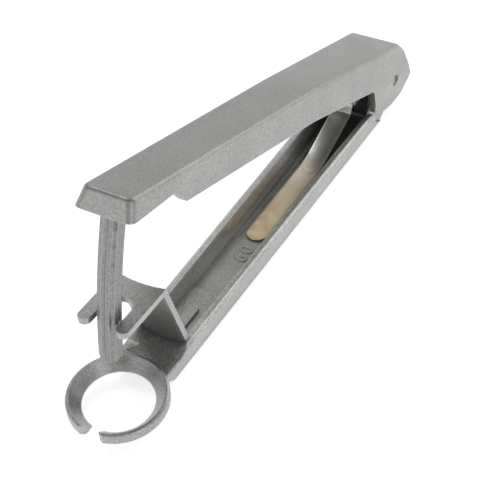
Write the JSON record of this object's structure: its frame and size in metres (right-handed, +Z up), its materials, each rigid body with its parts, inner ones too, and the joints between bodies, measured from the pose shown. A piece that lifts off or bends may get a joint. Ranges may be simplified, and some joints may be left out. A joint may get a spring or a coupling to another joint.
{
  "type": "cherry pitter with lever",
  "caption": "Hand-held fruit pitter: a channel arm with a forked plate and an open seat ring, and a hinged lever whose ribbed punch drops through both, opened by a leaf spring.",
  "frame": {"origin": "middle of the part's length and width, on the flat underside of the arm that it rests on", "axes": "+X along the arm towards the seat ring, +Y to the left of someone who looks along +X, +Z up"},
  "size_m": [0.165, 0.0242, 0.0617],
  "materials": {
    "cast_arm": "die-cast, fine metallic coating, satin",
    "cast_lever": "die-cast, fine metallic coating, satin",
    "spring_steel": "tempered spring steel, straw coloured",
    "pin_steel": "plain turned steel"
  },
  "bodies": {
    "arm": {"lower_arm": "cast_arm", "leaf_spring": "spring_steel"},
    "lever": {"upper_lever": "cast_lever", "hinge_pin": "pin_steel"}
  },
  "joints": [
    {"name": "lever_hinge", "type": "hinge", "parent": "arm", "child": "lever", "pos_m": [-0.06932, 0, 0.01313], "axis": [0, 1, 0], "range_deg": [0, 10.4], "stiffness_Nm_per_rad": 0.6, "springref_deg": -14.32, "deforming": ["leaf_spring"]}
  ]
}
